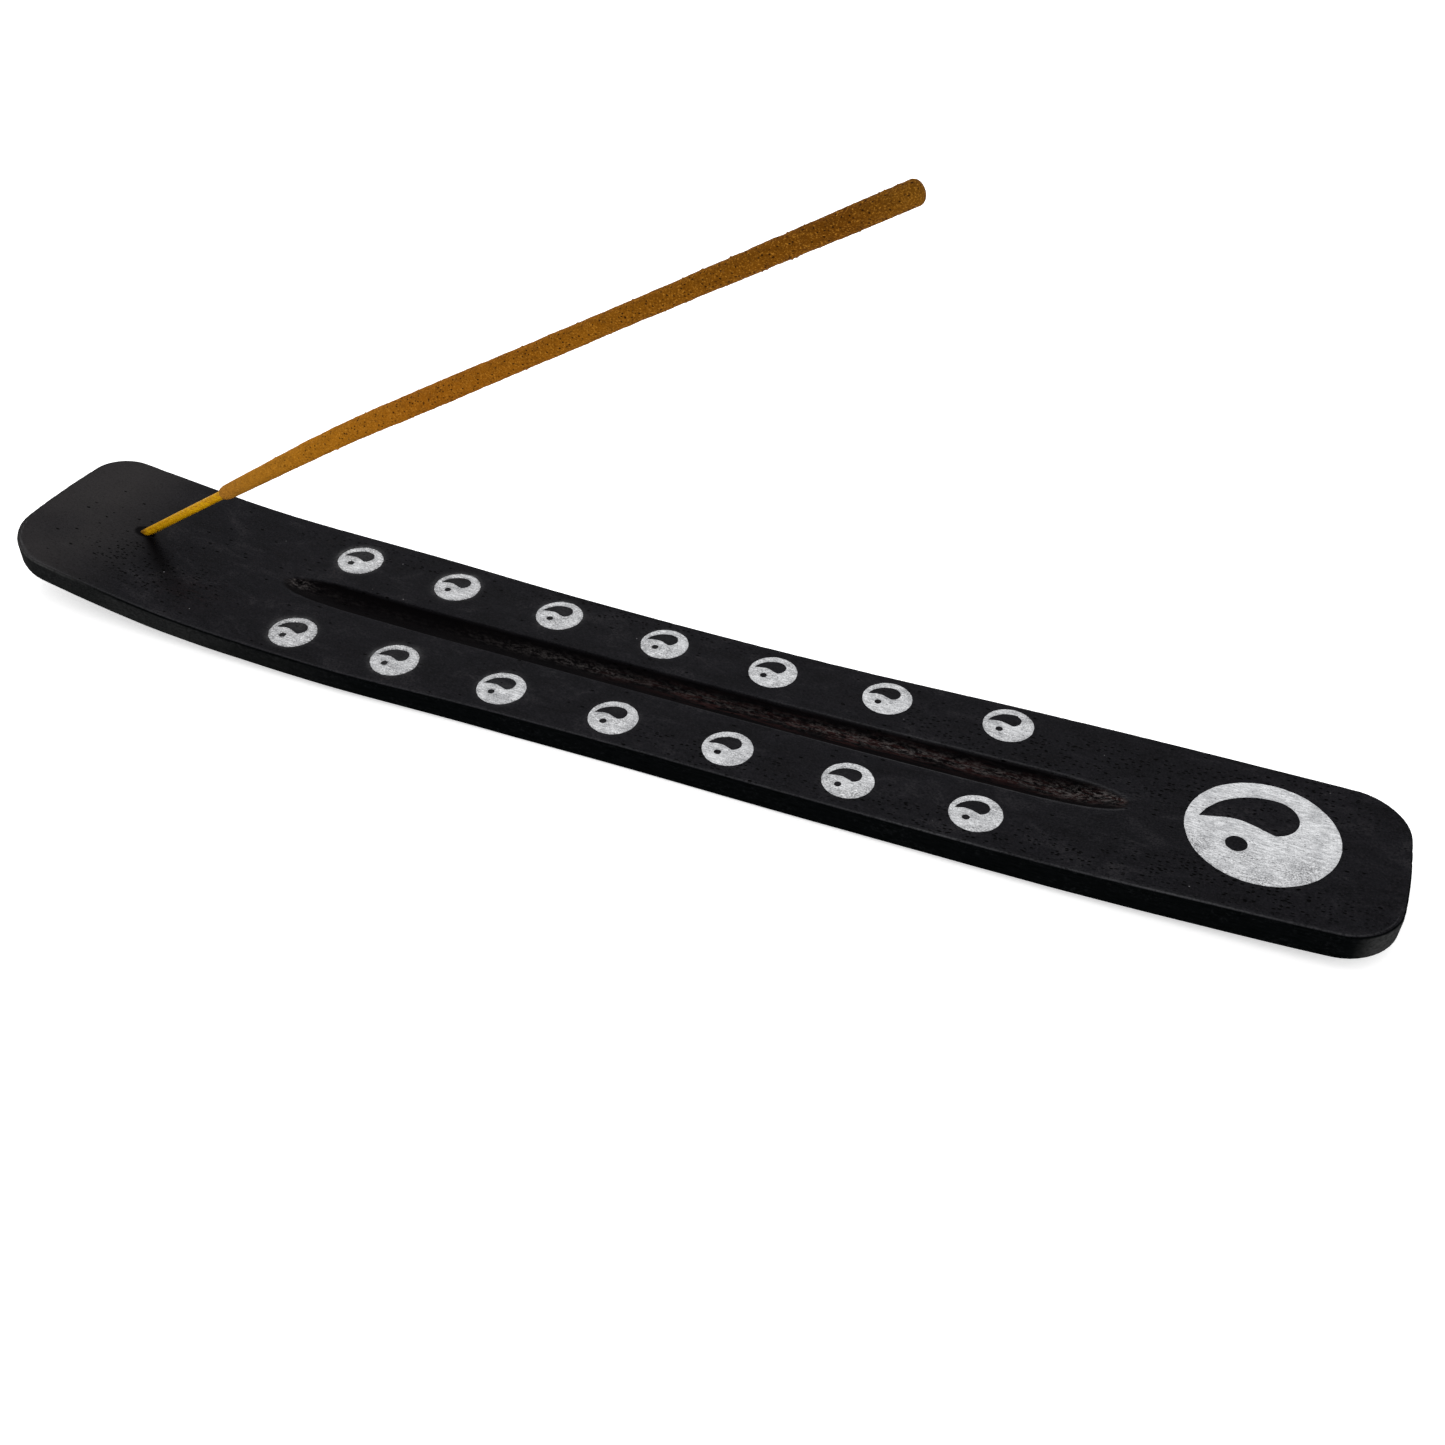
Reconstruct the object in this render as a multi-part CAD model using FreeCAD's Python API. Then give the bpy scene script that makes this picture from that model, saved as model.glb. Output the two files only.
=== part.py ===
import FreeCAD, Part
import math
import os

# Wooden incense-stick holder: a thin bent board with an ash groove, a slanted blind hole near
# its upturned end, stencilled paint marks on its top face, and one incense stick in the hole.
#
# Row frame: millimetres, +X along the board from the hole end to the end with the large mark,
# +Z up, origin in the middle of the board's length and width on the surface it rests on.

V = FreeCAD.Vector

# ---- board ------------------------------------------------------------------------------
LENGTH = 254.0            # ten inches, end to end
THICKNESS = 4.5           # in the middle of the board
FLAT_FROM, FLAT_TO = -30.4, 9.6        # level stretch of the top face
EASY_BEND_RADIUS = 1270.0              # slow rise towards the hole end, at the top face
EASY_BEND_TURN = 2.0                   # degrees
TIGHT_BEND_RADIUS = 260.0              # steam-bent kick just before the hole end
TIGHT_BEND_TURN = 5.4
FAR_BEND_RADIUS = 2450.0               # slight warp of the other end
OVERRUN = 8.0                          # the bent blank is longer than the board, then cut to outline
# The underside is level where it touches the table. Beyond that, the hand-sanded board's
# thickness below its top face (x, thickness): thinner towards the hole, thicker at the far end.
CONTACT_FROM, CONTACT_TO = -16.0, 9.6
LEFT_THICKNESS = ((-32.0, 4.2), (-50.0, 3.95), (-75.0, 3.95), (-100.0, 4.15), (-135.0, 4.0))
RIGHT_THICKNESS = ((40.0, 4.5), (60.0, 4.5), (80.0, 4.65), (95.0, 4.85), (110.0, 4.9), (135.0, 4.7))

END_BOW = 1.2                          # how far each sawn end bulges at its middle
CORNER_X = LENGTH / 2.0 - END_BOW
# Half widths of the hand-cut outline, from the hole end to the large-mark end, by side.
HALF_WIDTHS = {
    -1: ((-CORNER_X, 17.2), (-112.0, 18.25), (-98.0, 18.95), (-72.0, 19.55), (-55.0, 19.6),
         (-25.0, 18.4), (0.0, 17.95), (40.0, 18.05), (80.0, 18.15), (100.0, 17.7),
         (114.0, 17.4), (CORNER_X, 17.0)),
    1: ((-CORNER_X, 18.9), (-100.0, 19.1), (-72.0, 19.6), (-55.0, 19.65), (-20.0, 18.35),
        (0.0, 17.9), (35.0, 17.95), (62.0, 18.4), (85.0, 18.2), (105.0, 17.5), (CORNER_X, 16.5))}
CORNER_RADII = {(-1, 1): 6.5, (-1, -1): 10.5, (1, 1): 8.5, (1, -1): 8.0}    # (end, side)
TOP_EDGE_RADIUS = 0.7                  # sanded edges
BOTTOM_EDGE_RADIUS = 0.5

# ---- ash groove, cut with a round-nosed cutter --------------------------------------------
GROOVE_DEPTH = 2.2
GROOVE_HALF_WIDTH = 3.4
GROOVE_Y = 0.2
GROOVE_FROM, GROOVE_TO = -75.4, 84.6
GROOVE_RUN_OUT_RADIUS = 58.0           # the cutter leaves the wood on this arc at both ends

# ---- stick hole ----------------------------------------------------------------------------
STICK_X = -105.2                       # where the stick's axis meets the top face
HOLE_ANGLE = 33.5                      # degrees above the horizontal, leaning over the groove
HOLE_RADIUS = 1.2
HOLE_DEPTH = 4.4                       # along the hole's axis, from the top face
DRILL_POINT_ANGLE = 118.0

# ---- incense stick -------------------------------------------------------------------------
BAMBOO_RADIUS = 0.86
FOOT_GAP = 0.2                         # between the stick's foot and the end of the hole
STICK_REST_OFFSET = 0.24               # the stick lies against the lower side of its hole
BARE_LENGTH = 24.8                     # uncoated bamboo above the top face
STRAIGHT_LENGTH = 47.5                 # up to the slight bend in the stick
STICK_BEND_RADIUS = 440.0
STICK_BEND_TURN = 2.67
TOP_STRAIGHT_LENGTH = 103.5            # from the bend to the tip
COATING_START_RADIUS = 1.3
COATING_RADIUS = 1.75
COATING_TAPER_LENGTH = 18.5            # paste thickens from its start over this length
CORE_END_COVER = 3.0                   # paste beyond the end of the bamboo

# ---- stencilled marks ----------------------------------------------------------------------
PAINT_THICKNESS = 0.1
MARK_RADIUS = 4.32
# Centres of the small marks, placed by hand about 21 mm apart.
FRONT_ROW = ((-64.2, -12.7), (-43.4, -12.2), (-22.3, -11.8), (-1.1, -11.4), (19.8, -11.2),
             (40.8, -11.0), (62.1, -10.8))
BACK_ROW = ((-65.4, 11.8), (-44.3, 11.8), (-22.7, 11.4), (-1.4, 11.1), (19.5, 11.1), (40.4, 11.8),
            (61.6, 12.5))
LARGE_MARK = (104.8, 1.0)
LARGE_MARK_RADIUS = 11.85

# The comma and the dot that each stencil leaves bare, for a mark of radius 1.
COMMA_TAIL = (-0.83, 0.055)
COMMA_BACK = (-0.47, 0.545)
COMMA_TOP = (0.10, 0.70)
COMMA_HEAD = (0.44, 0.33)
COMMA_BOTTOM = (0.17, -0.005)
COMMA_BELLY = ((0.0, 0.055), (-0.14, 0.11), (-0.30, 0.15), (-0.50, 0.14), (-0.67, 0.095))
DOT_CENTRE = (-0.29, -0.325)
DOT_RADIUS = 0.146


def direction(angle, length=1.0):
    """Vector in the XZ plane at an angle in degrees above +X."""
    turn = math.radians(angle)
    return V(length * math.cos(turn), 0, length * math.sin(turn))


def walk(start, heading, steps):
    """Edges of a smooth path in the XZ plane, with its last point and heading.

    A step is ("line", length) or ("arc", radius, turn), where a positive turn is to the left.
    """
    edges, point = [], start
    for step in steps:
        if step[0] == "line":
            end = point + direction(heading, step[1])
            edges.append(Part.LineSegment(point, end).toShape())
        else:
            radius, turn = step[1], step[2]
            side = math.copysign(90.0, turn)
            centre = point + direction(heading + side, radius)
            middle = centre - direction(heading + side + turn / 2.0, radius)
            end = centre - direction(heading + side + turn, radius)
            edges.append(Part.Arc(point, middle, end).toShape())
            heading += turn
        point = end
    return edges, point, heading


def bent_curve(height):
    """Curve along the board, parallel to its top face: edges, left end and right end.

    height is above the table where the board is level. The radii shrink as it grows.
    """
    above_top = height - THICKNESS
    easy = EASY_BEND_RADIUS - above_top
    tight = TIGHT_BEND_RADIUS - above_top
    far = FAR_BEND_RADIUS - above_top
    left_straight = LENGTH / 2.0 + FLAT_FROM + OVERRUN
    left_straight -= easy * math.radians(EASY_BEND_TURN) + tight * math.radians(TIGHT_BEND_TURN)
    far_turn = math.degrees((LENGTH / 2.0 - FLAT_TO + OVERRUN) / far)
    left = walk(V(FLAT_FROM, 0, height), 180.0,
                [("arc", easy, -EASY_BEND_TURN), ("arc", tight, -TIGHT_BEND_TURN),
                 ("line", left_straight)])
    right = walk(V(FLAT_FROM, 0, height), 0.0,
                 [("line", FLAT_TO - FLAT_FROM), ("arc", far, far_turn)])
    return left[0] + right[0], left[1], right[1]


def underside_curve():
    """The underside's long curve: edges, left end and right end."""
    edges, ends = [Part.LineSegment(V(CONTACT_FROM, 0, 0), V(CONTACT_TO, 0, 0)).toShape()], []
    for start, heading, stations in ((CONTACT_FROM, -1, LEFT_THICKNESS), (CONTACT_TO, 1, RIGHT_THICKNESS)):
        points = [V(start, 0, 0)] + [V(x, 0, top_height(x) - thick) for x, thick in stations]
        rise = (points[-1] - points[-2]).normalize()
        curve = Part.BSplineCurve()
        curve.interpolate(Points=points, InitialTangent=V(heading, 0, 0), FinalTangent=rise)
        edges.append(curve.toShape())
        ends.append(points[-1])
    return edges, ends[0], ends[1]


def slab_between(low, high, half_width=25.0):
    """Solid between two long curves, wider than the board."""
    ends = [Part.LineSegment(low[1], high[1]).toShape(), Part.LineSegment(low[2], high[2]).toShape()]
    outline = Part.Wire(Part.__sortEdges__(low[0] + high[0] + ends))
    outline.translate(V(0, -half_width, 0))
    return Part.Face(outline).extrude(V(0, 2.0 * half_width, 0))


def side_curve(side):
    """Plan curve of one long side of the board, side +1 or -1."""
    curve = Part.BSplineCurve()
    curve.interpolate([V(x, side * half, 0) for x, half in HALF_WIDTHS[side]])
    return curve.toShape()


def end_curve(end):
    """Plan curve of one sawn end of the board, end +1 or -1."""
    (x, far), (x, near) = (HALF_WIDTHS[side][0 if end < 0 else -1] for side in (1, -1))
    return Part.Arc(V(x, far, 0), V(end * LENGTH / 2.0, 0, 0), V(x, -near, 0)).toShape()


def prism(edges, low, high):
    """Upright solid with the plan outline that the edges enclose."""
    face = Part.Face(Part.Wire(Part.__sortEdges__(edges)))
    face.translate(V(0, 0, low))
    return face.extrude(V(0, 0, high - low))


def outline_prism():
    """Upright solid with the board's plan outline, its four corners rounded."""
    solid = prism([side_curve(1), side_curve(-1), end_curve(1), end_curve(-1)], -10.0, 40.0)
    for (end, side), radius in CORNER_RADII.items():
        for edge in solid.Edges:
            middle = edge.CenterOfMass
            upright = abs(edge.tangentAt(edge.FirstParameter).z) > 0.99
            if upright and middle.x * end > 0 and middle.y * side > 0:
                solid = solid.makeFillet(radius, [edge])
                break
    return solid


def rim_edges(solid, long_curve):
    """Edges of the board's outline that lie on this long curve."""
    curve = Part.Wire(Part.__sortEdges__(long_curve[0]))
    sheet = curve.extrude(V(0, 60, 0))
    sheet.translate(V(0, -30, 0))
    rim = []
    for edge in solid.Edges:
        middle = edge.valueAt((edge.FirstParameter + edge.LastParameter) / 2.0)
        along_board = abs(middle.y) < 1e-6 and abs(abs(middle.x) - LENGTH / 2.0) > 1.0
        if sheet.distToShape(Part.Vertex(middle))[0] < 1e-4 and not along_board:
            rim.append(edge)
    return rim


def groove_cutter():
    """Solid swept by the round-nosed cutter that follows the bent top face."""
    radius = (GROOVE_HALF_WIDTH ** 2 + GROOVE_DEPTH ** 2) / (2.0 * GROOVE_DEPTH)
    height = THICKNESS - GROOVE_DEPTH + radius
    run_out = math.degrees(math.acos(1.0 - 2.0 * GROOVE_DEPTH / GROOVE_RUN_OUT_RADIUS))
    run_out_length = GROOVE_RUN_OUT_RADIUS * math.sqrt(2.0 * GROOVE_DEPTH / GROOVE_RUN_OUT_RADIUS)
    easy = EASY_BEND_RADIUS + THICKNESS - height
    far = FAR_BEND_RADIUS + THICKNESS - height
    easy_turn = math.degrees((FLAT_FROM - GROOVE_FROM - run_out_length) / easy)
    far_turn = math.degrees((GROOVE_TO - FLAT_TO - run_out_length) / far)
    start = V(FLAT_FROM, GROOVE_Y, height)
    left = walk(start, 180.0, [("arc", easy, -easy_turn), ("arc", GROOVE_RUN_OUT_RADIUS, -run_out)])
    right = walk(start, 0.0, [("line", FLAT_TO - FLAT_FROM), ("arc", far, far_turn),
                              ("arc", GROOVE_RUN_OUT_RADIUS, run_out)])
    path = Part.Wire(Part.__sortEdges__(left[0] + right[0]))
    return round_sweep(path, radius)


def round_sweep(path, radius):
    """Solid of a circle swept along a smooth wire."""
    first = path.OrderedEdges[0]
    start = path.OrderedVertexes[0].Point
    at_start = (first.valueAt(first.FirstParameter) - start).Length < 1e-6
    tangent = first.tangentAt(first.FirstParameter if at_start else first.LastParameter)
    circle = Part.Wire(Part.makeCircle(radius, start, tangent))
    return path.makePipeShell([circle], True, False)


def top_height(x):
    """Height of the board's top face above the table at x."""
    plumb = Part.LineSegment(V(x, 0, -50), V(x, 0, 100)).toShape()
    nearest = min((plumb.distToShape(edge) for edge in bent_curve(THICKNESS)[0]),
                  key=lambda found: found[0])
    return nearest[1][0][0].z


def hole_cutter(mouth):
    """Drill for the blind stick hole, with its conical point."""
    axis = direction(HOLE_ANGLE)
    sideways = direction(HOLE_ANGLE + 90.0, STICK_REST_OFFSET)
    floor = mouth - axis * HOLE_DEPTH + sideways
    point_length = HOLE_RADIUS / math.tan(math.radians(DRILL_POINT_ANGLE / 2.0))
    shank = Part.makeCylinder(HOLE_RADIUS, HOLE_DEPTH + 8.0, floor, axis)
    point = Part.makeCone(HOLE_RADIUS, 0, point_length, floor, axis * -1.0)
    return shank.fuse(point)


def make_board(mouth):
    """The bent board with eased edges, groove and hole."""
    top, underside = bent_curve(THICKNESS), underside_curve()
    board = slab_between(underside, top).common(outline_prism()).Solids[0]
    board = board.makeFillet(TOP_EDGE_RADIUS, rim_edges(board, top))
    board = board.makeFillet(BOTTOM_EDGE_RADIUS, rim_edges(board, underside))
    return board.cut(groove_cutter()).cut(hole_cutter(mouth)).Solids[0]


def stick_path(mouth, first_station, last_cut):
    """Centre line of the stick from first_station above the top face to last_cut short of its tip."""
    start = mouth + direction(HOLE_ANGLE, first_station)
    edges = walk(start, HOLE_ANGLE, [("line", STRAIGHT_LENGTH - first_station),
                                     ("arc", STICK_BEND_RADIUS, -STICK_BEND_TURN),
                                     ("line", TOP_STRAIGHT_LENGTH - last_cut)])
    return Part.Wire(Part.__sortEdges__(edges[0])), edges[1], edges[2]


def make_core(mouth):
    """The bamboo splint, from its foot in the hole to its end inside the paste."""
    path = stick_path(mouth, FOOT_GAP - HOLE_DEPTH, CORE_END_COVER)[0]
    return round_sweep(path, BAMBOO_RADIUS)


def make_coating(mouth, core):
    """The rolled paste: tapered start, round body and rounded tip, with the splint inside."""
    axis = direction(HOLE_ANGLE)
    taper = Part.makeCone(COATING_START_RADIUS, COATING_RADIUS, COATING_TAPER_LENGTH,
                          mouth + axis * BARE_LENGTH, axis)
    path, tip, heading = stick_path(mouth, BARE_LENGTH + COATING_TAPER_LENGTH, COATING_RADIUS)
    body = round_sweep(path, COATING_RADIUS)
    nose = Part.makeSphere(COATING_RADIUS, tip, direction(heading))
    return taper.fuse([body, nose]).removeSplitter().cut(core).Solids[0]


def circle_edge(centre, radius):
    return Part.makeCircle(radius, V(centre[0], centre[1], 0))


def comma_edges(centre, scale):
    """Closed comma outline: arched back, round head and a belly that sweeps to the tail."""
    def place(point):
        return V(centre[0] + scale * point[0], centre[1] + scale * point[1], 0)

    belly = Part.BSplineCurve()
    belly.interpolate([place(p) for p in (COMMA_BOTTOM,) + COMMA_BELLY + (COMMA_TAIL,)])
    back = Part.Arc(place(COMMA_TAIL), place(COMMA_BACK), place(COMMA_TOP)).toShape()
    head = Part.Arc(place(COMMA_TOP), place(COMMA_HEAD), place(COMMA_BOTTOM)).toShape()
    return [back, head, belly.toShape()]


def make_mark(paint, centre, radius):
    """One stencilled disc of paint on the top face, with its comma and dot left bare."""
    dot = (centre[0] + radius * DOT_CENTRE[0], centre[1] + radius * DOT_CENTRE[1])
    low, high = 0.0, 30.0
    disc = prism([circle_edge(centre, radius)], low, high)
    disc = disc.cut(prism(comma_edges(centre, radius), low, high))
    disc = disc.cut(prism([circle_edge(dot, radius * DOT_RADIUS)], low, high))
    return paint.common(disc).Solids[0]


def make_marks():
    """All paint marks by node name."""
    paint = slab_between(bent_curve(THICKNESS), bent_curve(THICKNESS + PAINT_THICKNESS))
    marks = {}
    for row, centres in (("front", FRONT_ROW), ("back", BACK_ROW)):
        for number, centre in enumerate(centres, 1):
            marks[f"painted_mark_{row}_{number}"] = make_mark(paint, centre, MARK_RADIUS)
    marks["painted_mark_large"] = make_mark(paint, LARGE_MARK, LARGE_MARK_RADIUS)
    return marks


def main():
    mouth = V(STICK_X, 0, top_height(STICK_X))
    core = make_core(mouth)
    nodes = {"wooden_board": make_board(mouth), "bamboo_core": core,
             "incense_coating": make_coating(mouth, core)}
    nodes.update(make_marks())
    os.makedirs("parts", exist_ok=True)
    for name, shape in nodes.items():
        box = shape.BoundBox
        print(f"{name}: valid {shape.isValid()}, volume {shape.Volume:.2f} mm3, "
              f"x {box.XMin:.2f}..{box.XMax:.2f}, y {box.YMin:.2f}..{box.YMax:.2f}, "
              f"z {box.ZMin:.2f}..{box.ZMax:.2f}")
        shape.exportStep(f"parts/{name}.step")


main()
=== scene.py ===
import math

import bpy
import numpy as np
from mathutils import Matrix, Vector, geometry


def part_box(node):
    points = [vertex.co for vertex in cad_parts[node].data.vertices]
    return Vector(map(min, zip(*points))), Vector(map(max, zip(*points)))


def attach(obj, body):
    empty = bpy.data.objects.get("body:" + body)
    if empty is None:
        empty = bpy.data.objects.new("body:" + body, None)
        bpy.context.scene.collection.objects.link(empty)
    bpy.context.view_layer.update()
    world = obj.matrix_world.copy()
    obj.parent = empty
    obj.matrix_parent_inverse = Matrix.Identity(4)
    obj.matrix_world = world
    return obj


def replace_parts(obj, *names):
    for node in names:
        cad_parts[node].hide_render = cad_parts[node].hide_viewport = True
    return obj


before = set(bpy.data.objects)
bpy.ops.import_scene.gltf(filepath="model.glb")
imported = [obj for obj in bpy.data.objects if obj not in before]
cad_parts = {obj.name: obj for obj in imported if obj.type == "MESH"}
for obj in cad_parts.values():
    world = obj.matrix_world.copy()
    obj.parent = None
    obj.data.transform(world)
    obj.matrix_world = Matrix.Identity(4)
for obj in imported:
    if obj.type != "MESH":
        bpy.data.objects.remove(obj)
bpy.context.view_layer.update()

MM = 0.001

# ---- the board, as in the CAD model ------------------------------------------------------
HALF_LENGTH = 127.0 * MM
THICKNESS = 4.5 * MM
FLAT_FROM, FLAT_TO = -30.4 * MM, 9.6 * MM
EASY_BEND_RADIUS, EASY_BEND_END = 1270.0 * MM, math.radians(2.0)
TIGHT_BEND_RADIUS, TIGHT_BEND_END = 260.0 * MM, math.radians(7.4)
FAR_BEND_RADIUS = 2450.0 * MM
END_BOW = 1.2 * MM
# The stretch of the underside that lies level on the table.
CONTACT_FROM, CONTACT_TO = -16.0 * MM, 9.6 * MM
# Thickness below the top face along the board, as (x, thickness) in millimetres.
THICKNESS_AT = ((-135, 4.0), (-100, 4.15), (-75, 3.95), (-50, 3.95), (-32, 4.2), (-16, 4.5),
                (9.6, 4.5), (40, 4.5), (60, 4.5), (80, 4.65), (95, 4.85), (110, 4.9), (135, 4.7))
# Half widths of the outline by side (-1 near, 1 far), as (x, half width) in millimetres.
CORNER_X = 125.8
HALF_WIDTHS = {
    -1: ((-CORNER_X, 17.2), (-112, 18.25), (-98, 18.95), (-72, 19.55), (-55, 19.6), (-25, 18.4),
         (0, 17.95), (40, 18.05), (80, 18.15), (100, 17.7), (114, 17.4), (CORNER_X, 17.0)),
    1: ((-CORNER_X, 18.9), (-100, 19.1), (-72, 19.6), (-55, 19.65), (-20, 18.35), (0, 17.9),
        (35, 17.95), (62, 18.4), (85, 18.2), (105, 17.5), (CORNER_X, 16.5))}
# Corner radii by end (-1 at the hole, 1 far) and side.
CORNERS = {(-1, 1): 6.5 * MM, (-1, -1): 10.5 * MM, (1, 1): 8.5 * MM, (1, -1): 8.0 * MM}
TOP_EDGE, BOTTOM_EDGE = 0.7 * MM, 0.5 * MM

GROOVE_DEPTH, GROOVE_HALF, GROOVE_Y = 2.2 * MM, 3.4 * MM, 0.2 * MM
GROOVE_FROM, GROOVE_TO = -75.4 * MM, 84.6 * MM
GROOVE_RUN_OUT = 58.0 * MM
CUTTER_RADIUS = (GROOVE_HALF ** 2 + GROOVE_DEPTH ** 2) / (2 * GROOVE_DEPTH)

HOLE_ANGLE = math.radians(33.5)
STICK_X = -105.2 * MM
HOLE_RADIUS, HOLE_DEPTH = 1.2 * MM, 4.4 * MM
HOLE_AXIS = np.array([math.cos(HOLE_ANGLE), 0, math.sin(HOLE_ANGLE)])
HOLE_ACROSS = np.array([-math.sin(HOLE_ANGLE), 0, math.cos(HOLE_ANGLE)])
# The stick rests on the lower wall of its hole, so the hole's axis is this far above the stick's.
STICK_REST_OFFSET = 0.24 * MM

# ---- the incense stick, as in the CAD model ----------------------------------------------
BAMBOO_RADIUS = 0.86 * MM
FOOT_STATION = -4.2 * MM
COATING_FROM = 24.8 * MM
STRAIGHT_TO = 47.5 * MM
STICK_BEND_RADIUS, STICK_BEND_TURN = 440.0 * MM, math.radians(2.67)
TIP_STATION = STRAIGHT_TO + STICK_BEND_RADIUS * STICK_BEND_TURN + 103.5 * MM
CORE_TO = TIP_STATION - 3.0 * MM

# ---- stencilled marks, as in the CAD model; their shapes are for a mark of radius 1 -------
MARK_RADIUS, LARGE_RADIUS = 4.32 * MM, 11.85 * MM
PAINT_THICKNESS = 0.07 * MM
COMMA_TAIL, COMMA_BACK, COMMA_TOP = (-0.83, 0.055), (-0.47, 0.545), (0.10, 0.70)
COMMA_HEAD, COMMA_BOTTOM = (0.44, 0.33), (0.17, -0.005)
COMMA_BELLY = ((0.0, 0.055), (-0.14, 0.11), (-0.30, 0.15), (-0.50, 0.14), (-0.67, 0.095))
DOT_CENTRE, DOT_RADIUS = (-0.29, -0.325), 0.146

# ---- fine relief and wear of the pieces --------------------------------------------------
GROOVE_RIM = 0.12 * MM
EDGE_WEAR, WEAR_LEVEL, WEAR_REACH = 0.18 * MM, 0.35 * MM, 0.8 * MM
SAW_MARKS = 0.03 * MM
DRILL_POINT = 0.7 * MM
STENCIL_WOBBLE = 0.045 * MM
PAINT_SUNK, PAINT_UNEVEN, PAINT_FEATHER = 0.03 * MM, 0.008 * MM, 0.35 * MM
TIP_ROUNDING = 1.5 * MM
# Clusters of open pores, as (x, y, half length, half width) in millimetres.
PORE_CLUSTERS = ((-94, -9.5, 9, 4.5), (-104, -7, 6, 3), (88, 9, 12, 4), (62, -14.5, 20, 2.5),
                 (103, -12, 16, 3.5), (75, 8, 30, 4), (18, -14, 12, 3), (110, 12, 8, 4),
                 (-62, 15, 12, 2), (-8, 15.5, 20, 2))


# ---- repeatable noise --------------------------------------------------------------------
def lattice(cell, seed):
    """Repeatable random numbers from -1 to 1 for whole-number cells, an (n, 3) array."""
    mixed = cell[:, 0] * 374761393 + cell[:, 1] * 668265263 + cell[:, 2] * 1442695041 + seed * 97531
    mixed &= 0xFFFFFFFF
    mixed = ((mixed ^ (mixed >> 13)) * 1274126177) & 0xFFFFFFFF
    return ((mixed ^ (mixed >> 16)) & 0xFFFF) / 32767.5 - 1.0


def noise(points, size, seed):
    """Smooth noise from -1 to 1 at (n, 3) points, its cells size mm long, alike or (x, y, z)."""
    scaled = points / (np.broadcast_to(size, 3) * MM)
    base = np.floor(scaled).astype(np.int64)
    part = scaled - base
    part = part * part * (3.0 - 2.0 * part)
    total = np.zeros(len(points))
    for corner in range(8):
        step = np.array([corner & 1, corner >> 1 & 1, corner >> 2 & 1])
        weight = np.prod(np.where(step, part, 1.0 - part), axis=1)
        total += weight * lattice(base + step, seed)
    return total


def relief(height, points, size, seed):
    """Noise that stands up to height millimetres."""
    return height * MM * noise(points, size, seed)


def plan_points(x, y):
    return np.column_stack([x, y, np.zeros_like(x)])


def around(turns):
    """Angles of the points of a ring."""
    return np.arange(turns) / turns * 2 * math.pi


def smooth_step(value, low, high):
    """0 at low, 1 at high, smooth between. low may be above high."""
    t = np.clip((value - low) / (high - low), 0.0, 1.0)
    return t * t * (3.0 - 2.0 * t)


def rise(value, low, high):
    """A smooth step whose ends are in millimetres."""
    return smooth_step(value, low * MM, high * MM)


def hump(value, centre, width):
    """1 at centre, falling off on both sides over width, both in millimetres."""
    return np.exp(-((value - centre * MM) / (width * MM)) ** 2)


def smooth_curve(at, value, x):
    """The values at x of a smooth curve through values at increasing stations."""
    slope = np.gradient(value, at, axis=0)
    x = np.clip(x, at[0], at[-1])
    i = np.clip(np.searchsorted(at, x) - 1, 0, len(at) - 2)
    span = at[i + 1] - at[i]
    t = (x - at[i]) / span
    if value.ndim > 1:
        span, t = span[:, None], t[:, None]
    return ((2 * t ** 3 - 3 * t ** 2 + 1) * value[i] + (t ** 3 - 2 * t ** 2 + t) * span * slope[i]
            + (3 * t ** 2 - 2 * t ** 3) * value[i + 1] + (t ** 3 - t ** 2) * span * slope[i + 1])


# ---- the board's surface -----------------------------------------------------------------
def top_height(x):
    """Height of the top face above the table, before the fine relief."""
    x = np.asarray(x, float)
    left = np.maximum(FLAT_FROM - x, 0.0)
    easy_to = EASY_BEND_RADIUS * math.sin(EASY_BEND_END)
    easy = EASY_BEND_RADIUS - np.sqrt(EASY_BEND_RADIUS ** 2 - np.minimum(left, easy_to) ** 2)
    tight_from = TIGHT_BEND_RADIUS * math.sin(EASY_BEND_END)
    tight_to = TIGHT_BEND_RADIUS * math.sin(TIGHT_BEND_END)
    along = np.clip(left - easy_to + tight_from, tight_from, tight_to)
    tight = math.cos(EASY_BEND_END) * TIGHT_BEND_RADIUS - np.sqrt(TIGHT_BEND_RADIUS ** 2 - along ** 2)
    straight = np.maximum(left - easy_to + tight_from - tight_to, 0.0) * math.tan(TIGHT_BEND_END)
    right = np.maximum(x - FLAT_TO, 0.0)
    far = FAR_BEND_RADIUS - np.sqrt(FAR_BEND_RADIUS ** 2 - right ** 2)
    return THICKNESS + easy + tight + straight + far


def waviness(x, y):
    """Slow unevenness of the hand-sanded top face."""
    flat = plan_points(x, y)
    return relief(0.05, flat, (23, 9, 1000), 11) + relief(0.015, flat, (6, 2.4, 1000), 12)


def groove_centre_depth(x):
    """Depth of the cut on the groove's centre line. The cutter leaves the wood on an arc."""
    run_out = math.sqrt(2 * GROOVE_DEPTH * GROOVE_RUN_OUT)
    past = np.maximum(np.maximum(GROOVE_FROM + run_out - x, x - (GROOVE_TO - run_out)), 0.0)
    return GROOVE_DEPTH - past ** 2 / (2 * GROOVE_RUN_OUT)


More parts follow.
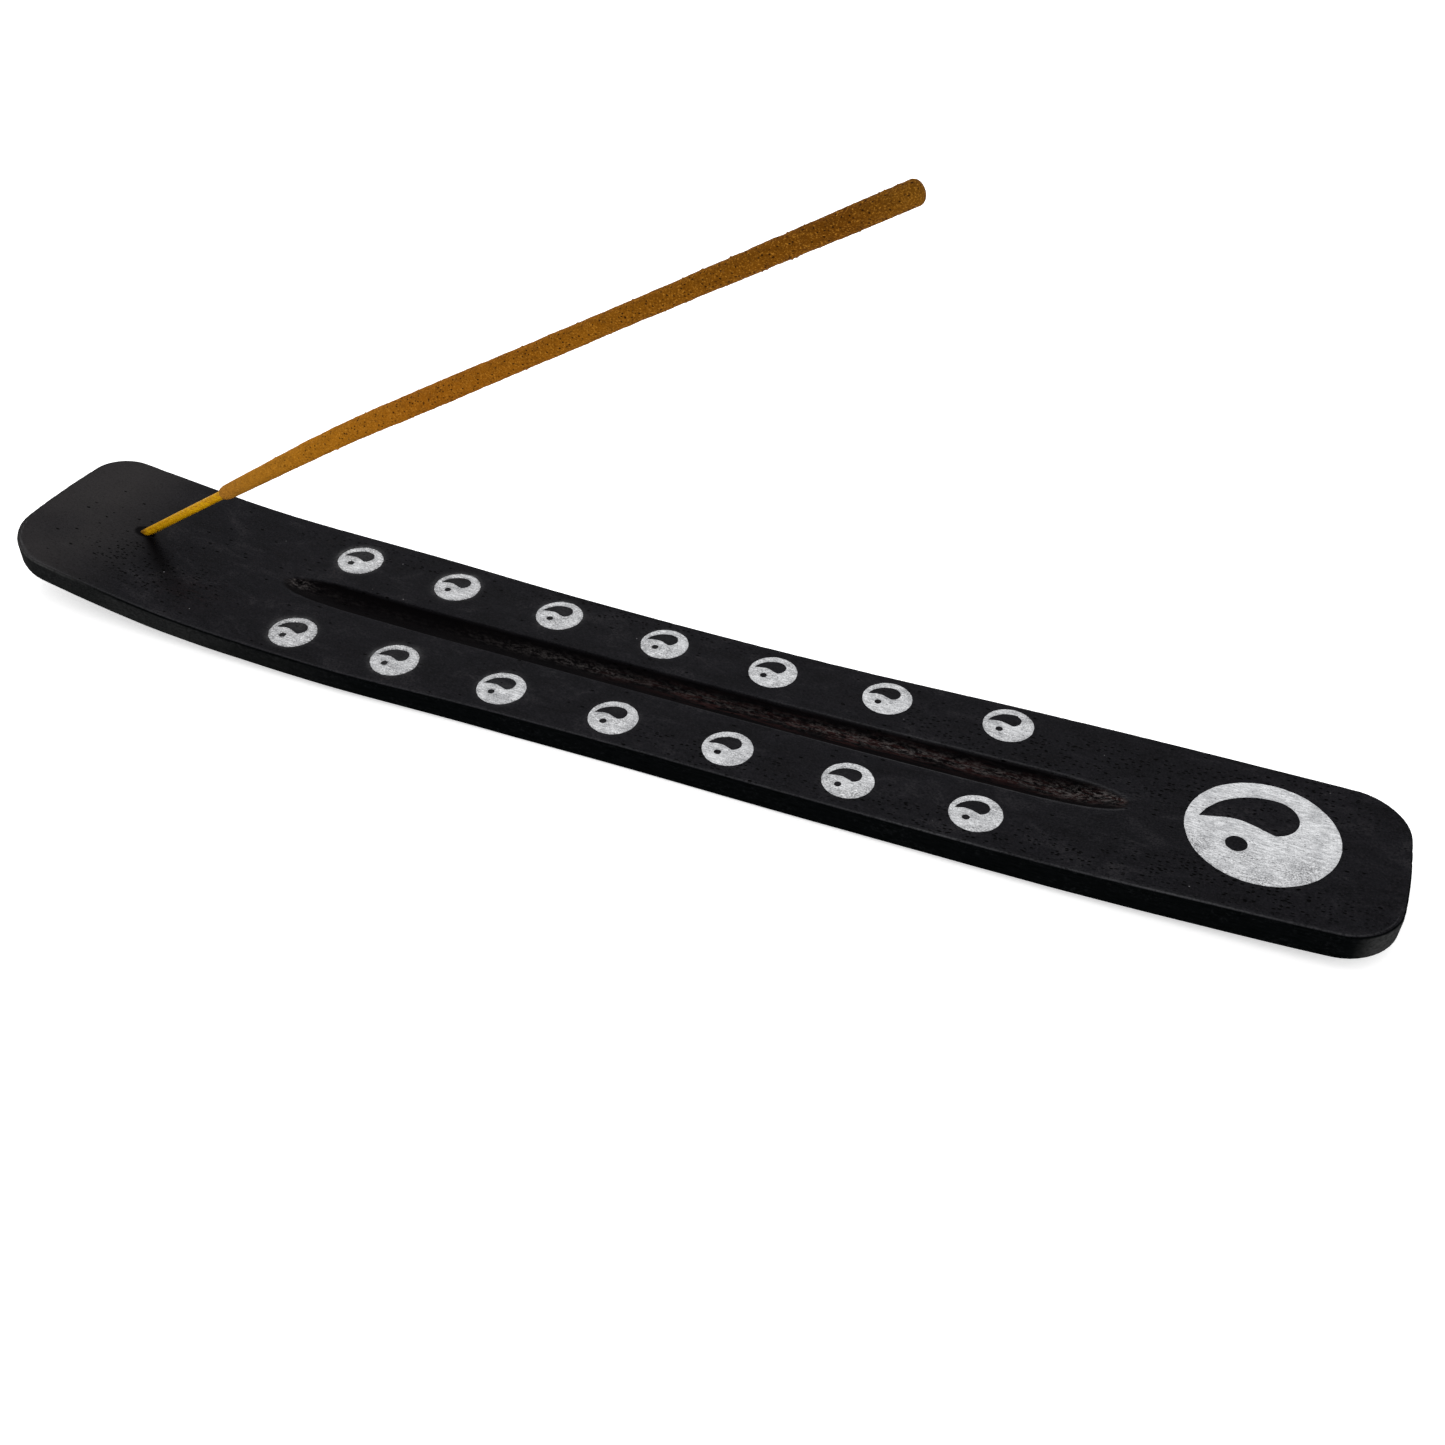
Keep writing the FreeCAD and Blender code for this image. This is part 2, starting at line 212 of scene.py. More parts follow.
def groove_cut(x, y):
    """Depth of the groove at points of the top face, with a rounded rim and torn, streaked wood."""
    across = np.clip(np.abs(y - GROOVE_Y) / CUTTER_RADIUS, 0, 0.999)
    depth = CUTTER_RADIUS * np.sqrt(1 - across ** 2) - CUTTER_RADIUS + groove_centre_depth(x)
    outside = np.exp(-np.maximum(-depth, 0) / GROOVE_RIM)
    cut = 0.5 * (depth + np.sqrt(depth ** 2 + GROOVE_RIM ** 2)) - 0.5 * GROOVE_RIM * outside
    cut = np.maximum(np.where(depth < -4 * GROOVE_RIM, 0.0, cut), 0.0)
    flat = plan_points(x, y)
    streaks = relief(0.045, flat, (9, 0.55, 1000), 21) + relief(0.03, flat, (2.6, 0.4, 1000), 22)
    tips = np.exp(-np.minimum(x - GROOVE_FROM, GROOVE_TO - x).clip(0) / (9 * MM))
    torn = relief(0.16, flat, (1.5, 0.6, 1000), 23) * tips
    return cut + rise(depth, 0.0, 0.5) * (streaks + torn)


def board_top(x, y):
    return top_height(x) + waviness(x, y) - groove_cut(x, y)


def through(stations, x):
    """Value at x of a smooth curve through (x, value) stations in millimetres."""
    at, value = np.array(stations, float).T * MM
    return smooth_curve(at, value, x)


def underside(x):
    """Height of the underside, level where it touches the table."""
    x = np.asarray(x, float)
    free = (x < CONTACT_FROM) | (x > CONTACT_TO)
    return np.where(free, np.maximum(top_height(x) - through(THICKNESS_AT, x), 0.0), 0.0)


def edge_y(x, side, inset):
    """y of one long side of the outline, rounded into its corners, moved in by inset."""
    half = through(HALF_WIDTHS[side], x) - inset
    for end in (-1, 1):
        radius = CORNERS[end, side] - inset
        from_end = np.maximum(HALF_LENGTH - END_BOW - inset - end * x, 0.0)
        inner = np.clip(radius - from_end, 0.0, radius)
        half = half - radius + np.sqrt(radius ** 2 - inner ** 2)
    return side * half


def board_stations(inset):
    """x of the grid's rows: even along the board, closing up round the corners."""
    end = HALF_LENGTH - END_BOW - inset
    corner_reach, corner_rows, middle_rows = 12.0 * MM, 16, 400
    corner = end - corner_reach * (1 - np.cos(np.linspace(0, math.pi / 2, corner_rows)))
    middle = np.linspace(-corner[-1], corner[-1], middle_rows)[1:-1]
    return np.concatenate([-corner, middle, corner[::-1]])


def board_grid(inset):
    """Plan points of a grid that fills the outline, as (rows, columns) arrays of x and y."""
    rows = board_stations(inset)
    reach, groove_columns, side_columns = 3.8 * MM, 31, 24
    groove = np.linspace(GROOVE_Y - reach, GROOVE_Y + reach, groove_columns)
    share = np.arange(side_columns) / side_columns
    near, far = edge_y(rows, -1, inset)[:, None], edge_y(rows, 1, inset)[:, None]
    y = np.concatenate([near + (groove[0] - near) * share,
                        np.repeat(groove[None, :], len(rows), axis=0),
                        (far + (groove[-1] - far) * share)[:, ::-1]], axis=1)
    x = np.repeat(rows[:, None], y.shape[1], axis=1)
    close_to_end = 1 - rise(HALF_LENGTH - np.abs(x), 0, 20)
    x = x + np.sign(x) * END_BOW * close_to_end * (1 - (y / through(HALF_WIDTHS[1], x)) ** 2)
    return x, y


def rim_order(rows, columns):
    """Indices of a grid's border, once round, anticlockwise seen from above."""
    index = np.arange(rows * columns).reshape(rows, columns)
    return np.concatenate([index[:, 0], index[-1, 1:], index[::-1, -1][1:], index[0, ::-1][1:-1]])


def grid_faces(rows, columns, first=0, flip=False):
    index = np.arange(rows * columns).reshape(rows, columns) + first
    corners = [index[:-1, :-1], index[1:, :-1], index[1:, 1:], index[:-1, 1:]]
    quads = np.stack(corners, axis=-1).reshape(-1, 4)
    return quads[:, ::-1] if flip else quads


def ring_faces(low, high):
    """Quads between two closed rings of vertex indices of the same length."""
    return np.stack([low, np.roll(low, -1), np.roll(high, -1), high], axis=1)


def fan(apex, ring, flip=False):
    """Triangles that close a ring of vertex indices to one point."""
    after = np.roll(ring, -1)
    first, second = (after, ring) if flip else (ring, after)
    return [(apex, a, b) for a, b in zip(first, second)]


def new_mesh(name, vertices, faces):
    """Object with a mesh of these vertices and faces, smooth but for sharp edges."""
    mesh = bpy.data.meshes.new(name)
    mesh.from_pydata([tuple(v) for v in vertices], [], [tuple(int(i) for i in f) for f in faces])
    mesh.validate()
    mesh.update()
    mesh.shade_smooth()
    piece = bpy.data.objects.new(name, mesh)
    bpy.context.scene.collection.objects.link(piece)
    return piece


def paint_attribute(mesh, name, values):
    """Stores a number per vertex for the material to read."""
    layer = mesh.attributes.new(name, "FLOAT", "POINT")
    layer.data.foreach_set("value", np.asarray(values, np.float32))


def edge_wear(points, seed):
    """From 0 to 1, how far an outer edge is knocked in at these points."""
    chips = smooth_step(noise(points, 3.1, seed), 0.45, 0.95)
    nicks = smooth_step(noise(points, 0.9, seed + 1), 0.2, 0.9)
    return 0.6 * chips + 0.4 * nicks


def side_profile():
    """Rings down the side: how far out of the top grid, how far down, and the share of the wall."""
    top_turn = np.linspace(0, math.pi / 2, 6)[1:]
    bottom_turn = np.linspace(0, math.pi / 2, 4)[1:-1]
    eased = [(TOP_EDGE * math.sin(a), TOP_EDGE * (1 - math.cos(a)), 0) for a in top_turn]
    wall = [(TOP_EDGE, TOP_EDGE, share) for share in np.linspace(0, 1, 9)[1:]]
    under = [(TOP_EDGE - BOTTOM_EDGE * (1 - math.cos(a)), TOP_EDGE + BOTTOM_EDGE * math.sin(a), 1)
             for a in bottom_turn]
    return eased + wall + under


def make_board():
    """The bent board: top and underside grids joined by eased edges and a sawn side wall."""
    x, y = board_grid(TOP_EDGE)
    rows, columns = x.shape
    top = np.stack([x.ravel(), y.ravel(), board_top(x.ravel(), y.ravel())], axis=1)
    rim = rim_order(rows, columns)
    edge = top[rim]
    ahead = np.roll(edge, -1, axis=0) - np.roll(edge, 1, axis=0)
    outward = np.stack([ahead[:, 1], -ahead[:, 0]], axis=1)
    outward /= np.linalg.norm(outward, axis=1)[:, None]
    wear = edge_wear(edge, 31) * EDGE_WEAR
    vertices, faces = [top], [grid_faces(rows, columns)]
    last, count = rim, len(top)
    for out, down, share in side_profile():
        from_wear = abs(down + 3 * MM * share - WEAR_LEVEL)
        knocked = wear * math.exp(-from_wear / WEAR_REACH)
        plan = edge[:, :2] + outward * (out - knocked)[:, None]
        high, low = top_height(plan[:, 0]), underside(plan[:, 0])
        z = high - down - share * (high - low - TOP_EDGE - BOTTOM_EDGE)
        if down > TOP_EDGE:  # the saw has left a ripple on the lower edge
            saw = SAW_MARKS * noise(np.column_stack([plan, z]), (7, 7, 0.5), 33)
            plan = plan + outward * saw[:, None]
        vertices.append(np.column_stack([plan, z]))
        ring = count + np.arange(len(rim))
        faces.append(ring_faces(ring, last))
        last, count = ring, count + len(rim)
    x, y = board_grid(BOTTOM_EDGE)
    vertices.append(np.stack([x.ravel(), y.ravel(), underside(x.ravel())], axis=1))
    faces.append(grid_faces(rows, columns, count, flip=True))
    faces.append(ring_faces(rim + count, last))
    board = new_mesh("carved_board", np.concatenate(vertices), np.concatenate(faces))
    drill_hole(board)
    return board


def hole_mouth():
    """Where the hole's axis leaves the top face."""
    return np.array([STICK_X, 0, float(top_height(STICK_X))]) + HOLE_ACROSS * STICK_REST_OFFSET


def drill_hole(board):
    """Cuts the slanted stick hole, slightly ragged, out of the board's mesh."""
    turns, lengths, above = 40, np.linspace(0, 1, 15), 5 * MM
    floor = hole_mouth() - HOLE_AXIS * HOLE_DEPTH
    angle = around(turns)
    spread = np.outer(np.cos(angle), HOLE_ACROSS) + np.outer(np.sin(angle), (0, 1, 0))
    rings = []
    for share in lengths:
        centre = floor + HOLE_AXIS * share * (HOLE_DEPTH + above)
        ring = centre + spread * HOLE_RADIUS
        ragged = 1 + 0.05 * noise(ring, 0.6, 41)
        rings.append(centre + (ring - centre) * ragged[:, None])
    rings, foot = np.array(rings), len(rings) * turns
    ends = [floor - HOLE_AXIS * DRILL_POINT, centre]
    faces = [*tube_faces(rings), *fan(foot, ring_at(rings, 0), flip=True),
             *fan(foot + 1, ring_at(rings, len(rings) - 1))]
    drill = new_mesh("drill", np.concatenate([rings.reshape(-1, 3), ends]), faces)
    cut = board.modifiers.new("hole", "BOOLEAN")
    cut.operation, cut.solver, cut.object = "DIFFERENCE", "EXACT", drill
    depsgraph = bpy.context.evaluated_depsgraph_get()
    board.data = bpy.data.meshes.new_from_object(board.evaluated_get(depsgraph))
    board.modifiers.clear()
    bpy.data.objects.remove(drill)


# ---- paint marks -------------------------------------------------------------------------
def arc_points(start, middle, end, count):
    """Points on the circle arc through three plan points, without the last."""
    a, b, c = (complex(*p) for p in (start, middle, end))
    w = (c - a) / (b - a)
    centre = (b - a) * (w - abs(w) ** 2) / (2j * w.imag) + a
    turn = np.angle((c - centre) / (a - centre))
    if (np.angle((b - centre) / (a - centre)) > 0) != (turn > 0):
        turn -= math.copysign(2 * math.pi, turn)
    z = centre + (a - centre) * np.exp(1j * turn * np.arange(count) / count)
    return np.stack([z.real, z.imag], axis=1)


def comma_outline():
    """Closed outline of the bare comma for a mark of radius 1: back, head and belly."""
    belly = np.array([COMMA_BOTTOM, *COMMA_BELLY, COMMA_TAIL])
    at = np.arange(len(belly))
    curve = smooth_curve(at, belly, np.linspace(0, at[-1], 31)[:-1])
    return np.concatenate([arc_points(COMMA_TAIL, COMMA_BACK, COMMA_TOP, 26),
                           arc_points(COMMA_TOP, COMMA_HEAD, COMMA_BOTTOM, 26), curve])


def circle_points(centre, radius, count):
    angle = around(count)
    return np.column_stack([centre[0] + radius * np.cos(angle), centre[1] + radius * np.sin(angle)])


def inside(points, outline):
    """Which plan points lie inside a closed outline, by counting crossings."""
    x, y = points[:, 0][:, None], points[:, 1][:, None]
    ax, ay = outline[:, 0][None, :], outline[:, 1][None, :]
    bx, by = np.roll(outline[:, 0], -1)[None, :], np.roll(outline[:, 1], -1)[None, :]
    crosses = (ay > y) != (by > y)
    height = np.where(by == ay, 1e-30, by - ay)
    return (np.sum(crosses & (x < (bx - ax) * (y - ay) / height + ax), axis=1) % 2) == 1


def outline_distance(points, outline):
    """Distance of plan points from a closed outline."""
    a, b = outline, np.roll(outline, -1, axis=0)
    ab = b - a
    best = np.full(len(points), np.inf)
    for start, step in zip(a, ab):
        t = np.clip(((points - start) @ step) / (step @ step), 0, 1)
        best = np.minimum(best, np.linalg.norm(points - start - t[:, None] * step, axis=1))
    return best


def mark_nodes():
    return sorted(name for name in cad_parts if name.startswith("painted_mark"))


def mark_place(node):
    """A mark's centre in plan, its radius, and whether it is the large one."""
    low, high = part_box(node)
    large = high.x - low.x > 3 * MARK_RADIUS
    centre = np.array([(low.x + high.x) / 2, (low.y + high.y) / 2])
    return centre, LARGE_RADIUS if large else MARK_RADIUS, large


def spray_softness(centre):
    """0 to 1: how softly a mark was sprayed, more so towards the hole."""
    return float(smooth_step(-centre[0], -30 * MM, 75 * MM))


def mark_outlines(radius, spacing, dot_sides, seed):
    """A mark's rim, its comma and its dot, each a little uneven."""
    outlines = [circle_points((0, 0), radius, int(radius * 2 * math.pi / spacing)),
                comma_outline() * radius,
                circle_points(np.array(DOT_CENTRE) * radius, radius * DOT_RADIUS, dot_sides)]
    for i, outline in enumerate(outlines):
        where = plan_points(*outline.T)
        uneven = [noise(where, 0.7, seed + i), noise(where, 0.7, seed + 9 + i)]
        outline += STENCIL_WOBBLE * np.stack(uneven, axis=1)
    return outlines


def painted_area(points, outlines):
    """Which plan points are inside the rim and outside the comma and the dot."""
    rim, comma, dot = outlines
    return inside(points, rim) & ~inside(points, comma) & ~inside(points, dot)


def edge_distance(points, outlines):
    return np.minimum.reduce([outline_distance(points, outline) for outline in outlines])


def mark_triangles(outlines, radius, spacing, seed):
    """Plan points of a mark and the upward triangles that fill its painted area."""
    rng = np.random.default_rng(seed)
    line = np.arange(-radius, radius, spacing)
    grid = np.stack(np.meshgrid(line, line), axis=-1).reshape(-1, 2)
    grid = grid + rng.uniform(-0.3, 0.3, grid.shape) * spacing
    clear = edge_distance(grid, outlines) > 0.45 * spacing
    grid = grid[clear & painted_area(grid, outlines)]
    edges, first = [], 0
    for outline in outlines:
        n = len(outline)
        edges += [(first + k, first + (k + 1) % n) for k in range(n)]
        first += n
    points = [Vector(p) for p in np.concatenate(outlines + [grid]) / MM]
    made = geometry.delaunay_2d_cdt(points, edges, [], 0, 1e-6)
    plan = np.array([tuple(v) for v in made[0]]) * MM
    triangles = np.array([f for f in made[2]])
    triangles = triangles[painted_area(plan[triangles].mean(axis=1), outlines)]
    a, b, c = (plan[triangles[:, k]] for k in range(3))
    turned = np.cross(b - a, c - a) < 0
    triangles[turned] = triangles[turned][:, ::-1]
    return plan, triangles


def make_mark(node, seed):
    """A coat of stencil paint on the wood: thin, feathered at its edges, with a bare comma and dot."""
    centre, radius, large = mark_place(node)
    spacing, dot_sides = (0.45 * MM, 24) if large else (0.26 * MM, 14)
    outlines = mark_outlines(radius, spacing, dot_sides, seed)
    plan, triangles = mark_triangles(outlines, radius, spacing, seed)
    to_edge = edge_distance(plan, outlines)
    place = plan + centre
    where = plan_points(*place.T)
    body = top_height(place[:, 0]) + waviness(place[:, 0], place[:, 1])
    film = PAINT_THICKNESS * (0.35 + 0.65 * smooth_step(to_edge, 0, PAINT_FEATHER))
    film = film + PAINT_UNEVEN * noise(where, 0.5, seed + 5)
    upper = np.column_stack([place, body + film])
    lower = np.column_stack([place, body - PAINT_SUNK])
    n = len(plan)
    sides = dict.fromkeys((a, b) for t in triangles for a, b in zip(t, t[[1, 2, 0]]))
    border = [(a, b) for a, b in sides if (b, a) not in sides]
    faces = [*triangles, *(triangles[:, ::-1] + n)]
    faces += [(b, a, a + n, b + n) for a, b in border]
    piece = new_mesh(f"stencilled_{node}", np.concatenate([upper, lower]), faces)
    piece.data.set_sharp_from_angle(angle=math.radians(55))
    thin = np.exp(-to_edge / (0.45 * MM)) * (0.2 + 0.6 * spray_softness(centre))
    paint_attribute(piece.data, "thin_paint", np.tile(thin, 2))
    low_part = smooth_step(plan[:, 1] / radius, -0.15, -0.55) if large else np.full(n, 0.8)
    dirt = low_part * (0.55 + 0.6 * noise(where, 2.4, seed + 6))
    paint_attribute(piece.data, "dirt", np.tile(np.clip(dirt, 0, 1), 2))
    return piece


# ---- the incense stick -------------------------------------------------------------------
def stick_line(station):
    """Centre line of the stick: points and directions at stations along it, from the top face."""
    station = np.asarray(station, float)
    bend_to = STRAIGHT_TO + STICK_BEND_RADIUS * STICK_BEND_TURN
    angle = HOLE_ANGLE - np.clip((station - STRAIGHT_TO) / STICK_BEND_RADIUS, 0, STICK_BEND_TURN)
    end_angle = HOLE_ANGLE - STICK_BEND_TURN
    first, last = np.minimum(station, STRAIGHT_TO), np.maximum(station - bend_to, 0)
    x = first * math.cos(HOLE_ANGLE) + last * math.cos(end_angle)
    z = first * math.sin(HOLE_ANGLE) + last * math.sin(end_angle)
    x = x + STICK_BEND_RADIUS * (math.sin(HOLE_ANGLE) - np.sin(angle))
    z = z + STICK_BEND_RADIUS * (np.cos(angle) - math.cos(HOLE_ANGLE))
    level = np.zeros_like(x)
    points = np.stack([STICK_X + x, level, float(top_height(STICK_X)) + z], axis=-1)
    return points, np.stack([np.cos(angle), level, np.sin(angle)], axis=-1)


def tube_rings(station, radii):
    """Rings of a tube about the stick's line: radii is (stations, turns)."""
    points, along = stick_line(station)
    turns = radii.shape[1]
    angle = around(turns)
    up = np.stack([-along[:, 2], np.zeros(len(along)), along[:, 0]], axis=1)
    side = np.array([0.0, 1.0, 0.0])
    spread = np.cos(angle)[None, :, None] * side + np.sin(angle)[None, :, None] * up[:, None, :]
    return points[:, None, :] + radii[:, :, None] * spread


def laid_straight(station, radius, angle):
    """Points of the stick's surface as if it lay along x, for the noise to be read at."""
    return np.column_stack([np.repeat(station, len(angle)), (radius * np.cos(angle)).ravel(),
                            (radius * np.sin(angle)).ravel()])


def ring_at(rings, row):
    """Vertex indices of one ring of a tube."""
    turns = rings.shape[1]
    return np.arange(turns) + row * turns


def tube_faces(rings):
    return np.concatenate([ring_faces(ring_at(rings, row), ring_at(rings, row + 1))
                           for row in range(len(rings) - 1)])


def make_bamboo():
    """The splint: slightly squared, with shallow fibres along it and eased ends."""
    turns, step, end = 48, 0.5 * MM, 0.12 * MM
    station = np.concatenate([[FOOT_STATION, FOOT_STATION + end],
                              np.arange(FOOT_STATION + step, CORE_TO - step, step),
                              [CORE_TO - end, CORE_TO]])
    angle = around(turns)
    radius = np.full((len(station), 1), BAMBOO_RADIUS)
    fibres = noise(laid_straight(station, radius, angle), (14, 0.16, 0.16), 51).reshape(-1, turns)
    shaved = np.abs(np.cos(2 * (angle + 0.35))) ** 3
    radii = BAMBOO_RADIUS * (1 - 0.10 * shaved[None, :] - 0.02 * (1 + fibres))
    radii[[0, -1]] *= 0.85
    rings = tube_rings(station, radii)
    vertices = np.concatenate([rings.reshape(-1, 3), stick_line(station)[0][[0, -1]]])
    count = len(station) * turns
    faces = [*tube_faces(rings), *fan(count, ring_at(rings, 0), flip=True),
             *fan(count + 1, ring_at(rings, len(station) - 1))]
    piece = new_mesh("bamboo_splint", vertices, faces)
    piece.data.set_sharp_from_angle(angle=math.radians(50))
    along = np.concatenate([np.repeat(station, turns), station[[0, -1]]])
    paint_attribute(piece.data, "along", along / MM)
    return piece


def coating_radius(station):
    """Radius of the rolled paste along the stick: a quick start, a slow swell, a rounded tip."""
    knots = np.array([0, 0.5, 1.4, 6, 14, 24, 40, 62, 90, 120, 146]) * MM
    sizes = np.array([0.98, 1.22, 1.34, 1.45, 1.60, 1.71, 1.83, 1.82, 1.71, 1.70, 1.76]) * MM
    radius = np.interp(station - COATING_FROM, knots, sizes)
    left = np.clip((TIP_STATION - station) / TIP_ROUNDING, 0, 1)
    return radius * np.sqrt(1 - (1 - left) ** 2.6)


def coating_stations():
    """Stations of the paste's rings: closer together at its start and round its tip."""
    start = COATING_FROM + np.array([0, 0.1, 0.25, 0.42]) * MM
    body = np.arange(COATING_FROM + 0.6 * MM, TIP_STATION - TIP_ROUNDING, 0.165 * MM)
    tip = TIP_STATION - TIP_ROUNDING * (1 - np.sin(np.linspace(0, math.pi / 2, 14)))
    return np.concatenate([start, body, tip[1:-1]])


def coating_relief(where):
    """Lumps, grains, pits and crumbs of the paste, calmer near its start."""
    lumps = relief(0.045, where, 1.6, 62)
    grains = relief(0.030, where, 0.45, 63) + relief(0.022, where, 0.24, 64)
    pits = -0.09 * MM * smooth_step(noise(where, 0.55, 65), 0.55, 0.95)
    crumbs = 0.16 * MM * smooth_step(noise(where, 0.42, 66), 0.78, 0.98)
    calm = 0.35 + 0.65 * rise(where[:, 0] - COATING_FROM, 0, 22)
    return (lumps + grains + pits + crumbs) * calm


def make_coating():
    """The paste: a granular round body, bored for the splint."""
    turns, full = 72, 1.2 * MM
    station = coating_stations()
    angle = around(turns)
    base = coating_radius(station)[:, None]
    oval = 0.03 * MM * np.cos(2 * angle[None, :] + station[:, None] / (17 * MM))
    slow = plan_points(station, np.zeros(len(station)))
    base = base + relief(0.045, slow, (9, 1000, 1000), 61)[:, None] * rise(base, 0.8, 1.3)
    rough = coating_relief(laid_straight(station, base, angle)).reshape(-1, turns)
    rings = tube_rings(station, base + oval * (base > full) + rough * np.minimum(base / full, 1))
    bore_station = np.concatenate([np.arange(COATING_FROM, CORE_TO, 4 * MM), [CORE_TO]])
    bore = tube_rings(bore_station, np.full((len(bore_station), turns), BAMBOO_RADIUS))
    ends = stick_line(np.array([TIP_STATION, CORE_TO]))[0]
    vertices = np.concatenate([rings.reshape(-1, 3), bore.reshape(-1, 3), ends])
    outer, inner = rings.shape[0] * turns, bore.shape[0] * turns
    faces = [*tube_faces(rings), *(tube_faces(bore)[:, ::-1] + outer),
             *ring_faces(ring_at(bore, 0) + outer, ring_at(rings, 0)),
             *fan(outer + inner, ring_at(rings, len(rings) - 1)),
             *fan(outer + inner + 1, ring_at(bore, len(bore) - 1) + outer, flip=True)]
    piece = new_mesh("rolled_paste", vertices, faces)
    along = np.concatenate([np.repeat(station, turns), np.repeat(bore_station, turns),
                            [TIP_STATION, CORE_TO]])
    paint_attribute(piece.data, "along", (along - COATING_FROM) / MM)
    return piece


# ---- materials ---------------------------------------------------------------------------
def seen(red, green, blue):
    """A colour given as it shows on a screen, 0 to 255, as a shader's linear colour."""
    parts = [c / 255 for c in (red, green, blue)]
    linear = [c / 12.92 if c <= 0.04045 else ((c + 0.055) / 1.055) ** 2.4 for c in parts]
    return (*linear, 1.0)


# A near-black colour is painted shade in and round the hole and the stick's painted shadow.
# The grey of the groove's streaks is partly real wear and partly painted glints.
# The groove colour is painted shade: the groove darkened nearly to black for the shade in its hollow.
# The line colour is a painted highlight.
WOOD = {"dark": seen(14, 14, 16), "pale": seen(24, 24, 27), "grain": seen(25, 24, 27),
        "light speck": seen(36, 34, 37), "dark speck": seen(5, 4, 6), "fibre": seen(40, 37, 38),
        "dusty": seen(48, 46, 47), "pale_end_and_painted_wall_light": seen(45, 43, 43), "groove": seen(4, 3, 4),
        "bare red": seen(39, 21, 20), "rubbed_and_glinting": seen(80, 76, 75), "line": seen(78, 78, 80),
        "pore": (0.0004, 0.0003, 0.0004, 1.0), "painted_shade": seen(3, 2, 3), "spray": seen(122, 122, 123),
        "dust": seen(120, 118, 120)}
# Side wall colours, far darker than the top's: painted shade, as the walls face away from the light.
SIDE_IN_PAINTED_SHADE = {"dark": seen(2, 3, 3), "pale": seen(8, 9, 10), "dust": seen(22, 23, 24),
        "pale_end_and_painted_wall_light": seen(66, 66, 66)}
PAINT = {"low": seen(152, 153, 155), "middle": seen(196, 197, 199), "high": seen(226, 227, 229),
         "patch": seen(140, 141, 144), "mottle": seen(112, 113, 116), "dirt": seen(104, 104, 106),
         "wood below": seen(50, 49, 51)}
# The foot colour is painted shade where the splint goes into the hole.
BAMBOO = {"low": seen(150, 96, 1), "middle": seen(190, 140, 2), "high": seen(216, 170, 10),
          "streak": seen(146, 88, 1), "foot": seen(58, 30, 2)}
PASTE = {"lump": seen(44, 20, 3), "light grain": seen(204, 142, 52), "dark grain": seen(40, 20, 4),
         "gap": seen(56, 28, 4), "sawdust": seen(214, 160, 76)}
# The paste's tone from its start (0) to its tip (1).
PASTE_TONES = ((0.0, seen(150, 100, 34)), (0.07, seen(152, 100, 26)), (0.20, seen(150, 95, 18)),
               (0.38, seen(132, 78, 12)), (0.60, seen(122, 74, 10)), (0.80, seen(106, 63, 7)),
               (0.93, seen(92, 53, 6)), (1.0, seen(102, 64, 12)))
PASTE_LENGTH = 146.0


